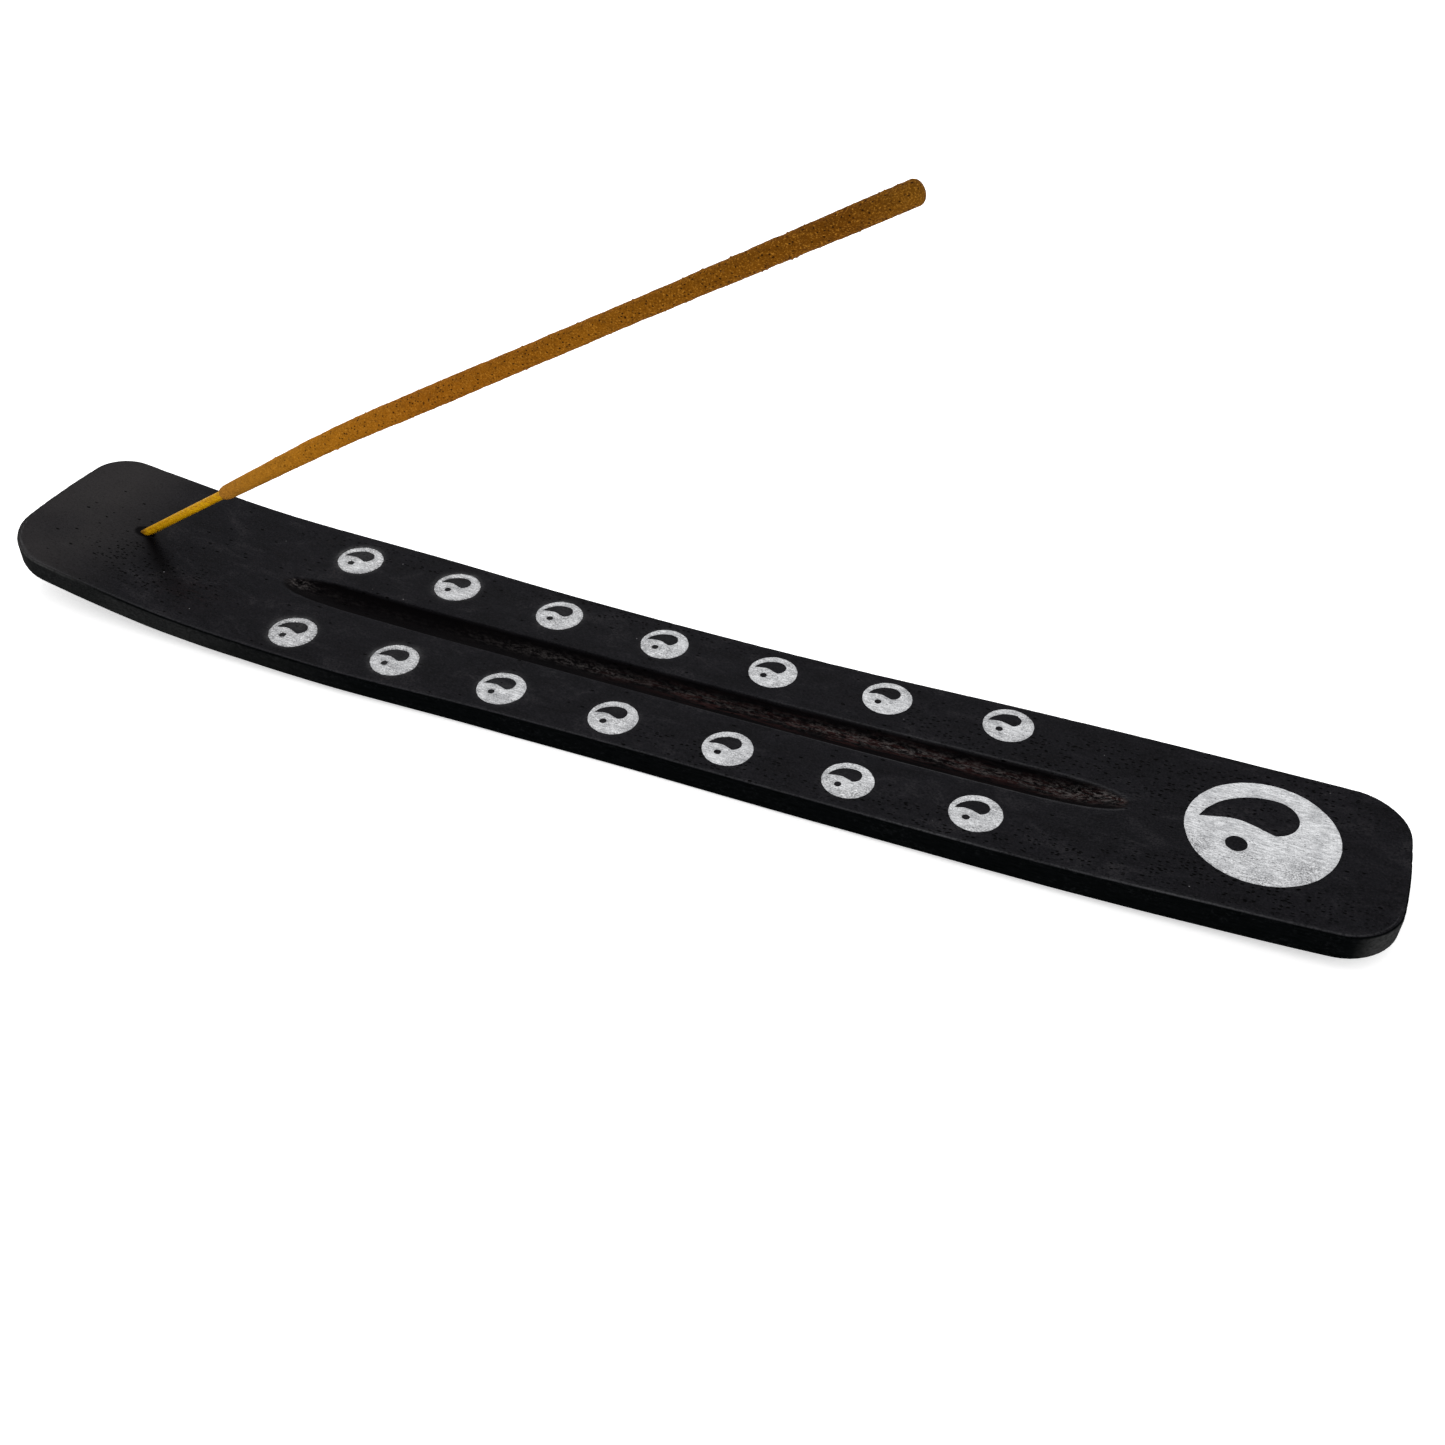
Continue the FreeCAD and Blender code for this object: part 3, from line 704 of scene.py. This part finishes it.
class Finish:
    """A material under construction. Sizes are in millimetres, in the object's own coordinates."""

    def __init__(self, name):
        self.material = bpy.data.materials.new(name)
        self.material.use_nodes = True
        self.tree = self.material.node_tree
        self.shader = self.tree.nodes["Principled BSDF"]
        where = self.tree.nodes.new("ShaderNodeTexCoord").outputs["Object"]
        scaled = self.node("ShaderNodeVectorMath", {0: where, "Scale": 1 / MM}, operation="SCALE")
        self.place = scaled.outputs[0]

    def node(self, kind, inputs, **settings):
        made = self.tree.nodes.new(kind)
        for key, value in settings.items():
            setattr(made, key, value)
        for key, value in inputs.items():
            self.put(made.inputs[key], value)
        return made

    def put(self, socket, value):
        if isinstance(value, bpy.types.NodeSocket):
            self.tree.links.new(value, socket)
        else:
            socket.default_value = value

    def maths(self, operation, a, b):
        return self.node("ShaderNodeMath", {0: a, 1: b}, operation=operation).outputs[0]

    def times(self, a, b):
        return self.maths("MULTIPLY", a, b)

    def stretched(self, size, shift=0.0):
        """The place scaled down by size mm along each axis and moved, so that patterns differ."""
        scale, offset = tuple(1.0 / s for s in size), (shift, shift * 1.7, shift * 0.6)
        return self.node("ShaderNodeVectorMath", {0: self.place, 1: scale, 2: offset},
                         operation="MULTIPLY_ADD").outputs[0]

    def cloud(self, size, detail=3.0, roughness=0.5, distortion=0.0, shift=0.0):
        """Noise from about 0.25 to 0.75 whose features are size mm along each axis."""
        inputs = {"Vector": self.stretched(size, shift), "Scale": 1.0, "Detail": detail,
                  "Roughness": roughness, "Distortion": distortion}
        return self.node("ShaderNodeTexNoise", inputs).outputs["Fac"]

    def cells(self, size, shift=0.0):
        """Distance to scattered points about size mm apart, and a random colour per point."""
        inputs = {"Vector": self.stretched(size, shift), "Scale": 1.0}
        made = self.node("ShaderNodeTexVoronoi", inputs)
        return made.outputs["Distance"], made.outputs["Color"]

    def band(self, value, low, high, bottom=0.0, top=1.0):
        """bottom below low, top above high, smooth between. low may be above high."""
        if low > high:
            low, high, bottom, top = high, low, top, bottom
        return self.node("ShaderNodeMapRange", {"Value": value, 1: low, 2: high, 3: bottom, 4: top},
                         interpolation_type="SMOOTHSTEP").outputs[0]

    def mix(self, share, a, b):
        made = self.node("ShaderNodeMix", {"Factor": share}, data_type="RGBA", clamp_factor=True)
        self.put(made.inputs[6], a)
        self.put(made.inputs[7], b)
        return made.outputs[2]

    def ramp(self, value, *stops):
        made = self.node("ShaderNodeValToRGB", {"Fac": value})
        points = made.color_ramp.elements
        while len(points) < len(stops):
            points.new(0.5)
        for point, (at, _) in zip(points, stops):
            point.position = at
        for point, (_, colour) in zip(points, stops):
            point.color = colour
        return made.outputs["Color"]

    def stored(self, name):
        """A number stored per vertex of the mesh."""
        return self.node("ShaderNodeAttribute", {}, attribute_name=name).outputs["Fac"]

    def channel(self, colour, channel="Red"):
        return self.node("ShaderNodeSeparateColor", {"Color": colour}).outputs[channel]

    def bump(self, height, distance, strength=1.0):
        """Relief whose height of 1 stands distance mm high. Adds to the relief given before."""
        inputs = {"Height": height, "Distance": distance * MM, "Strength": strength}
        if self.shader.inputs["Normal"].is_linked:
            inputs["Normal"] = self.shader.inputs["Normal"].links[0].from_socket
        self.put(self.shader.inputs["Normal"], self.node("ShaderNodeBump", inputs).outputs[0])

    def done(self, colour, roughness, **plain):
        self.put(self.shader.inputs["Base Color"], colour)
        self.put(self.shader.inputs["Roughness"], roughness)
        for key, value in plain.items():
            self.put(self.shader.inputs[key.replace("_", " ")], value)
        return self.material


def stained_wood():
    """Black-stained wood: matt mottle, open pores, and a groove worn to reddish wood and grey scuffs.
    The groove's black is painted shade, its grey streaks are partly painted glints, and painted
    highlights, a paler hole end, painted shade round the hole and the stick's painted shadow are laid on
    top.
    """
    f = Finish("stained_wood")
    grain = f.cloud((16, 1.1, 1.1), detail=4, roughness=0.6, distortion=0.5)
    fibre = f.cloud((1.8, 0.25, 0.25), detail=3, roughness=0.7, shift=3)
    haze = f.cloud((9, 5, 5), detail=5, roughness=0.68, distortion=0.7, shift=7)
    fine = f.cloud((0.40, 0.30, 0.30), detail=3, roughness=0.8, shift=9)
    colour = f.ramp(haze, (0.34, WOOD["dark"]), (0.66, WOOD["pale"]))
    colour = f.mix(f.band(grain, 0.48, 0.74, 0.0, 0.4), colour, WOOD["grain"])
    colour = f.mix(f.band(fine, 0.50, 0.70, 0.0, 0.70), colour, WOOD["light speck"])
    colour = f.mix(f.band(fine, 0.48, 0.32, 0.0, 0.80), colour, WOOD["dark speck"])
    colour = f.mix(f.band(fibre, 0.56, 0.72, 0.0, 0.30), colour, WOOD["fibre"])
    dusty = f.times(f.band(haze, 0.52, 0.68), f.band(fine, 0.40, 0.60))
    colour = f.mix(f.times(dusty, 0.4), colour, WOOD["dusty"])
    # paler top towards the rising hole end
    pale_end_and_painted_wall_light = f.times(f.stored("pale_end_and_painted_wall_light"), f.band(fine, 0.30, 0.55, 0.45, 0.85))
    colour = f.mix(pale_end_and_painted_wall_light, colour, WOOD["pale_end_and_painted_wall_light"])
    # The groove: painted shade makes it black; it is streaked with reddish wood and worn grey where the
    # ash is brushed out, the grey partly painted glints.
    groove = f.stored("groove")
    # painted shade: the groove darkened nearly to black, standing in for the shade in its hollow
    colour = f.mix(f.times(groove, 0.98), colour, WOOD["groove"])
    streak = f.cloud((5.5, 0.50, 0.50), detail=4, roughness=0.66, distortion=0.5, shift=13)
    red = f.times(f.stored("bare_red"), f.band(streak, 0.52, 0.44))
    colour = f.mix(red, colour, WOOD["bare red"])
    # grey streaks in the groove: partly worn wood, partly painted glints off its polished floor
    rubbed_and_glinting = f.cloud((1.3, 0.42, 0.42), detail=5, roughness=0.82, distortion=0.3, shift=17)
    colour = f.mix(f.times(f.stored("scuff_and_painted_glint"), f.band(rubbed_and_glinting, 0.46, 0.60)), colour, WOOD["rubbed_and_glinting"])
    # patches of the groove's painted shade left between the grey scuffs
    gaps = f.band(f.cloud((4.2, 0.7, 0.7), detail=4, roughness=0.7, shift=37), 0.53, 0.62)
    colour = f.mix(f.times(f.times(groove, gaps), 0.85), colour, WOOD["groove"])
    # painted highlight along the groove's rims and the near top edge
    line = f.times(f.stored("line"), f.band(fine, 0.34, 0.56, 0.45, 1.0))
    colour = f.mix(line, colour, WOOD["line"])
    # Open pores: short dark dashes along the grain, in loose clusters, and a few scattered ones.
    spot, tint = f.cells((1.0, 0.50, 0.50), shift=19)
    chosen = f.band(f.channel(tint), 0.50, 0.48)
    clustered = f.times(f.band(spot, 0.36, 0.24), f.times(chosen, f.stored("pores")))
    spot, tint = f.cells((2.6, 1.2, 1.2), shift=23)
    scattered = f.times(f.band(spot, 0.17, 0.11), f.band(f.channel(tint), 0.34, 0.32))
    pores = f.maths("MAXIMUM", clustered, scattered)
    colour = f.mix(pores, colour, WOOD["pore"])
    # painted shade in and round the hole, and the stick's painted shadow
    colour = f.mix(f.stored("painted_shadow_and_hole_shade"), colour, WOOD["painted_shade"])
    # Overspray beside the stencilled marks, and a few pale specks of dust.
    mist = f.cloud((0.32, 0.32, 0.32), detail=3, roughness=0.8, shift=29)
    spray = f.times(f.stored("overspray"), f.band(mist, 0.36, 0.62, 0.35, 1.0))
    colour = f.mix(spray, colour, WOOD["spray"])
    spot, tint = f.cells((3.2, 3.2, 3.2), shift=31)
    dust = f.times(f.band(spot, 0.050, 0.028), f.band(f.channel(tint, "Green"), 0.18, 0.16))
    colour = f.mix(f.times(dust, 0.6), colour, WOOD["dust"])
    uneven = f.maths("ADD", f.times(fine, 0.6), f.times(haze, 0.4))
    f.bump(fibre, 0.03)
    f.bump(fine, 0.05)
    f.bump(f.maths("SUBTRACT", 1.0, pores), 0.20)
    return f.done(colour, f.band(uneven, 0.3, 0.7, 0.52, 0.72), Specular_IOR_Level=0.01)


def shaded_sawn_edge():
    """The stained side wall in painted shade, nearly black, with fine saw marks, dusty patches and
    painted light towards the hole end.
    """
    f = Finish("shaded_sawn_edge")
    saw = f.cloud((3.0, 3.0, 0.22), detail=4, roughness=0.7, distortion=0.4)
    dust = f.cloud((0.7, 0.7, 0.4), detail=4, roughness=0.75, shift=5)
    patch = f.cloud((11, 11, 3), detail=3, roughness=0.6, shift=8)
    # painted shade: the wall's colours kept much darker than the top's
    colour = f.ramp(saw, (0.34, SIDE_IN_PAINTED_SHADE["dark"]), (0.66, SIDE_IN_PAINTED_SHADE["pale"]))
    dusty = f.times(f.band(dust, 0.50, 0.70), f.band(patch, 0.44, 0.62, 0.15, 0.7))
    colour = f.mix(dusty, colour, SIDE_IN_PAINTED_SHADE["dust"])
    # painted light on the walls towards the hole end, and painted reflections at the near corners
    pale_end_and_painted_wall_light = f.times(f.stored("pale_end_and_painted_wall_light"), f.band(dust, 0.36, 0.60, 0.5, 1.0))
    colour = f.mix(pale_end_and_painted_wall_light, colour, SIDE_IN_PAINTED_SHADE["pale_end_and_painted_wall_light"])
    f.bump(saw, 0.06)
    f.bump(dust, 0.04)
    return f.done(colour, f.band(dust, 0.3, 0.7, 0.66, 0.86), Specular_IOR_Level=0.0)


def silver_paint():
    """Thin silver-white stencil paint: finely mottled, with the wood's pores and grain worn through."""
    f = Finish("silver_paint")
    patch = f.cloud((3.0, 2.0, 2.0), detail=4, roughness=0.62, shift=2)
    streak = f.cloud((1.5, 0.30, 0.30), detail=4, roughness=0.70, shift=5)
    fine = f.cloud((0.26, 0.20, 0.20), detail=3, roughness=0.75, shift=8)
    colour = f.ramp(streak, (0.34, PAINT["low"]), (0.52, PAINT["middle"]), (0.68, PAINT["high"]))
    colour = f.mix(f.band(patch, 0.50, 0.36, 0.0, 0.45), colour, PAINT["patch"])
    colour = f.mix(f.band(fine, 0.50, 0.36, 0.0, 0.60), colour, PAINT["mottle"])
    colour = f.mix(f.times(f.stored("dirt"), f.band(fine, 0.55, 0.42)), colour, PAINT["dirt"])
    colour = f.mix(f.band(fine, 0.56, 0.70, 0.0, 0.35), colour, PAINT["high"])
    worn = f.times(f.band(fine, 0.44, 0.32), f.band(patch, 0.48, 0.34))
    spot, tint = f.cells((0.8, 0.30, 0.30), shift=19)
    open_pore = f.times(f.band(spot, 0.26, 0.14), f.band(f.channel(tint), 0.14, 0.12))
    thin = f.times(f.stored("thin_paint"), f.band(f.cloud((0.3, 0.3, 0.3), shift=11), 0.42, 0.58))
    bare = f.maths("MAXIMUM", f.maths("MAXIMUM", f.times(worn, 0.7), open_pore), thin)
    colour = f.mix(bare, colour, PAINT["wood below"])
    f.bump(streak, 0.03)
    f.bump(fine, 0.02)
    return f.done(colour, f.band(patch, 0.3, 0.7, 0.66, 0.50), Specular_IOR_Level=0.15)


def bamboo():
    """Split bamboo dyed a strong yellow, deeper orange in its fibres, darker in painted shade where its
    foot goes into the hole.
    """
    f = Finish("bamboo")
    fibre = f.cloud((16, 0.13, 0.13), detail=4, roughness=0.65)
    streak = f.cloud((9, 0.32, 0.32), detail=3, roughness=0.6, shift=4)
    colour = f.ramp(fibre, (0.32, BAMBOO["low"]), (0.52, BAMBOO["middle"]), (0.70, BAMBOO["high"]))
    colour = f.mix(f.band(streak, 0.52, 0.70, 0.0, 0.5), colour, BAMBOO["streak"])
    # painted shade where the splint goes into the hole
    colour = f.mix(f.band(f.stored("along"), 1.6, -0.6, 0.0, 0.7), colour, BAMBOO["foot"])
    f.bump(fibre, 0.05)
    return f.done(colour, f.band(fibre, 0.3, 0.7, 0.42, 0.6), Specular_IOR_Level=0.06)


def incense_paste():
    """Rolled paste: sawdust and charcoal grains in a brown binder, its tone changing along the stick."""
    f = Finish("incense_paste")
    along = f.stored("along")
    tone = f.ramp(f.maths("DIVIDE", along, PASTE_LENGTH), *PASTE_TONES)
    lump = f.cloud((1.6, 1.0, 1.0), detail=4, roughness=0.6)
    grain = f.cloud((0.34, 0.24, 0.24), detail=3, roughness=0.75, shift=3)
    dust = f.cloud((0.5, 0.10, 0.10), detail=2, roughness=0.7, shift=6)
    colour = f.mix(f.band(lump, 0.54, 0.36, 0.0, 0.35), tone, f.mix(0.55, tone, PASTE["lump"]))
    colour = f.mix(f.band(grain, 0.53, 0.70, 0.0, 0.60), colour, PASTE["light grain"])
    spot, tint = f.cells((0.55, 0.4, 0.4), shift=9)
    speck = f.times(f.band(spot, 0.42, 0.22), f.band(f.channel(tint), 0.32, 0.28))
    coarse = f.band(along, 4.0, 34.0, 0.2, 1.0)
    colour = f.mix(f.times(speck, coarse), colour, PASTE["dark grain"])
    colour = f.mix(f.times(f.band(grain, 0.45, 0.30), f.times(coarse, 0.8)), colour, PASTE["gap"])
    colour = f.mix(f.band(dust, 0.62, 0.74, 0.0, 0.5), colour, PASTE["sawdust"])
    f.bump(grain, 0.10)
    f.bump(lump, 0.10)
    return f.done(colour, f.band(grain, 0.3, 0.7, 0.80, 0.95), Specular_IOR_Level=0.02)


# ---- masks that the wood's materials read ------------------------------------------------
def groove_masks(x, y, on_top):
    """The groove's painted shade, the reddish wood laid bare in it, and its grey rubbing, partly painted
    glints.

    Along the groove: black at the hole end, grey in the middle, then reddish and grey to the far end.
    """
    off_centre = y - GROOVE_Y
    patchy = 0.7 + 0.5 * noise(plan_points(x, y), (11, 2, 1000), 74)
    # painted shade: how far each point lies down in the groove
    groove = rise(groove_cut(x, y), 0.05, 0.28) * (np.abs(off_centre) < 4 * MM) * on_top
    red = rise(x, -20, 12) * hump(off_centre, 0.9, 1.3) + 0.02
    thin_stain_by_hole = 0.16 * hump(x, -88, 7) * hump(y, -11, 4)
    # painted glints along the groove's middle, stronger away from the hole, mixed with real wear
    rubbed_and_glinting = 0.10 + 0.40 * rise(x, -46, -18) + 0.30 * rise(x, 22, 50)
    middle = rubbed_and_glinting * patchy * hump(off_centre, 1.45, 0.85)
    near_tip = 0.8 * hump(x - GROOVE_FROM, 3, 2.6) * hump(off_centre, 0.9, 1.0)
    far_tip = 0.5 * rise(x, 66, 76) * hump(off_centre, 1.0, 1.2)
    return {"groove": groove, "bare_red": groove * red * patchy + thin_stain_by_hole,
            "scuff_and_painted_glint": groove * (middle + near_tip + far_tip)}


def painted_rim_and_edge_highlights(x, y, z, on_top):
    """Painted highlights: fine light lines along the groove's rims and the near top edge, where the
    eased edges catch the light.
    """
    centre_depth = groove_centre_depth(x).clip(0)
    half = np.sqrt(np.maximum(CUTTER_RADIUS ** 2 - (CUTTER_RADIUS - centre_depth) ** 2, 0))
    # painted highlight along the groove's rims, stronger towards the far end
    rim = hump(np.abs(y - GROOVE_Y) - half, 0.12, 0.16) * (half > 0) * on_top * rise(half, 0.3, 1.6)
    rim = rim * (0.06 + 0.26 * rise(x, 5, 50))
    # painted highlight along the near top edge, strongest where the edge catches the light
    strength = 0.30 + 0.4 * (hump(x, 58, 9) + hump(x, 94, 12) + rise(x, -108, -120))
    strength = strength * (0.75 + 0.25 * rise(x, -50, -25))
    from_edge = np.abs(edge_y(x, -1, 0)) + y
    near_edge_highlight = hump(from_edge, 0.52, 0.13) * (z > top_height(x) - 0.5 * MM) * strength
    return rim + near_edge_highlight


def hole_end_paling_and_wall_light(x, y, z):
    """Paler top towards the rising hole end; on the walls, painted light towards the hole end and
    painted reflections at the two near corners.
    """
    # on the walls: painted light towards the hole end and painted reflections at the near corners
    corners = 0.75 * rise(x, -117, -125) + rise(x, 120, 124.5) * rise(y, -6, -12)
    on_wall = 0.21 * rise(x, -42, -84) + 0.7 * corners
    pale_end_and_painted_wall_light = np.where(z < top_height(x) - 0.3 * MM, on_wall, rise(x, -97, -120))
    return pale_end_and_painted_wall_light * (0.85 + 0.35 * noise(plan_points(x, y), 7, 73))


def painted_stick_shadow_and_hole_shade(points, on_top):
    """Painted shade in the hole and round its mouth, and the stick's painted shadow cast from it towards
    the near edge.
    """
    x, y, z = points.T
    # painted shadow of the stick: a dark streak from the hole towards the near side
    across_stick_shadow = (x + 103.6 * MM + 1.2 * (y + 1.2 * MM)) / (1.3 * MM + 0.26 * np.abs(y))
    stick_shadow = 0.95 * np.exp(-across_stick_shadow ** 2) * rise(y, -0.3, -1.2) * rise(y, -16, -4) * on_top
    # painted shade inside the hole and round its mouth
    from_axis = np.linalg.norm(np.cross(points - hole_mouth(), HOLE_AXIS), axis=1)
    from_axis = from_axis + relief(0.25, points, 0.8, 75)
    painted_shade = 0.97 * rise(from_axis, 1.75, 1.25) * (z > underside(x) + 0.5 * MM)
    return np.maximum(stick_shadow, painted_shade)


def overspray(x, y):
    """Paint mist just outside the small marks and in their bare shapes, more towards the hole."""
    spray = np.zeros(len(x))
    for node in mark_nodes():
        centre, radius, large = mark_place(node)
        if large:
            continue
        soft = spray_softness(centre)
        shift = 0.25 * MM * soft
        away = np.hypot(x - centre[0] + shift, y - centre[1] - shift) - radius
        mist = 0.34 * soft * np.exp(-np.abs(away) / (0.35 * MM)) * (away < 3 * MM)
        spray = np.maximum.reduce([spray, mist, (away < 0) * (0.02 + 0.08 * soft)])
    return spray * (0.7 + 0.5 * noise(plan_points(x, y), 1.6, 71))


def colour_board(board):
    """Stores the masks on the board's mesh, each a number from 0 to 1 per vertex."""
    points = np.empty(len(board.data.vertices) * 3)
    board.data.vertices.foreach_get("co", points)
    points = points.reshape(-1, 3)
    x, y, z = points.T
    on_top = z > top_height(x) - GROOVE_DEPTH - 0.4 * MM
    masks = groove_masks(x, y, on_top)
    clusters = sum(hump(x, a, c) * hump(y, b, d) for a, b, c, d in PORE_CLUSTERS)
    masks["pores"] = np.clip(clusters * 2.1 + 0.08, 0, 1) * (1 - masks["groove"] * 0.6)
    masks["line"] = painted_rim_and_edge_highlights(x, y, z, on_top)
    masks["pale_end_and_painted_wall_light"] = hole_end_paling_and_wall_light(x, y, z)
    masks["painted_shadow_and_hole_shade"] = painted_stick_shadow_and_hole_shade(points, on_top)
    masks["overspray"] = overspray(x, y) * (z > top_height(x) - 0.6 * MM)
    for name, values in masks.items():
        paint_attribute(board.data, name, np.clip(values, 0, 1))


def mark_side_walls(mesh):
    """Gives the upright faces of the outline the second material, the wood's copy in painted shade."""
    for face in mesh.polygons:
        outer = abs(face.center.y) > 14 * MM or abs(face.center.x) > HALF_LENGTH - 3 * MM
        face.material_index = 1 if outer and -0.55 < face.normal.z < 0.84 else 0


# ---- build the pieces --------------------------------------------------------------------
board = make_board()
colour_board(board)
board.data.materials.clear()
board.data.materials.append(stained_wood())
# the side walls take the wood's copy in painted shade
board.data.materials.append(shaded_sawn_edge())
mark_side_walls(board.data)
board.data.set_sharp_from_angle(angle=math.radians(38))
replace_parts(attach(board, "board"), "wooden_board")

paint = silver_paint()
for number, node in enumerate(mark_nodes()):
    mark = make_mark(node, 200 + 20 * number)
    mark.data.materials.append(paint)
    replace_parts(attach(mark, "board"), node)

splint = make_bamboo()
splint.data.materials.append(bamboo())
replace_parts(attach(splint, "incense_stick"), "bamboo_core")

paste = make_coating()
paste.data.materials.append(incense_paste())
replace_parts(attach(paste, "incense_stick"), "incense_coating")


# ---- floor, light and camera -------------------------------------------------------------
CAMERA_PLACE = Vector((89.1, -192.6, 173.2)) * MM
CAMERA_TURN, CAMERA_TILT, CAMERA_ROLL = (math.radians(a) for a in (21.187, 49.992, 1.267))


def make_floor():
    half = 20.0
    corners = [(-half, -half, 0), (half, -half, 0), (half, half, 0), (-half, half, 0)]
    mesh = bpy.data.meshes.new("floor")
    mesh.from_pydata(corners, [], [(0, 1, 2, 3)])
    floor = bpy.data.objects.new("floor", mesh)
    bpy.context.scene.collection.objects.link(floor)
    f = Finish("floor_paper")
    shade = f.cloud((400, 400, 400), detail=2)
    paper = f.ramp(shade, (0.3, (0.88, 0.88, 0.88, 1)), (0.7, (0.92, 0.92, 0.92, 1)))
    white = (1, 1, 1, 1)
    finish = f.done(paper, 0.9, Specular_IOR_Level=0.1, Emission_Color=white, Emission_Strength=0.5)
    mesh.materials.append(finish)


def area_light(name, place, width, height, power):
    """A rectangular light that faces the middle of the board."""
    light = bpy.data.lights.new(name, "AREA")
    light.shape, light.size, light.size_y, light.energy = "RECTANGLE", width, height, power
    lamp = bpy.data.objects.new(name, light)
    lamp.location = place
    lamp.rotation_euler = (-Vector(place)).to_track_quat("-Z", "Y").to_euler()
    bpy.context.scene.collection.objects.link(lamp)


def make_world():
    """An even, nearly white surround."""
    world = bpy.data.worlds.new("studio")
    world.use_nodes = True
    background = world.node_tree.nodes["Background"]
    background.inputs["Color"].default_value = (1, 1, 1, 1)
    background.inputs["Strength"].default_value = 0.85
    bpy.context.scene.world = world
    bpy.context.scene.view_settings.view_transform = "Standard"


def make_camera():
    """Three quarters from the near far-end side, 40 degrees above the table, rolled slightly."""
    camera = bpy.data.objects.new("camera", bpy.data.cameras.new("camera"))
    camera.data.lens, camera.data.sensor_width = 38.5, 36.0
    camera.data.clip_start, camera.data.clip_end = 0.01, 20
    turned = (Matrix.Rotation(CAMERA_TURN, 4, "Z") @ Matrix.Rotation(CAMERA_TILT, 4, "X")
              @ Matrix.Rotation(CAMERA_ROLL, 4, "Z"))
    camera.matrix_world = Matrix.Translation(CAMERA_PLACE) @ turned
    bpy.context.scene.collection.objects.link(camera)
    bpy.context.scene.camera = camera


make_floor()
area_light("window", (-0.45, 0.95, 0.85), 0.9, 0.7, power=9.5)
area_light("left_fill", (-1.2, -0.1, 0.6), 0.6, 0.6, power=2.5)
area_light("right_fill", (1.1, -0.3, 0.5), 0.5, 0.5, power=2)
make_world()
make_camera()

bpy.context.view_layer.update()
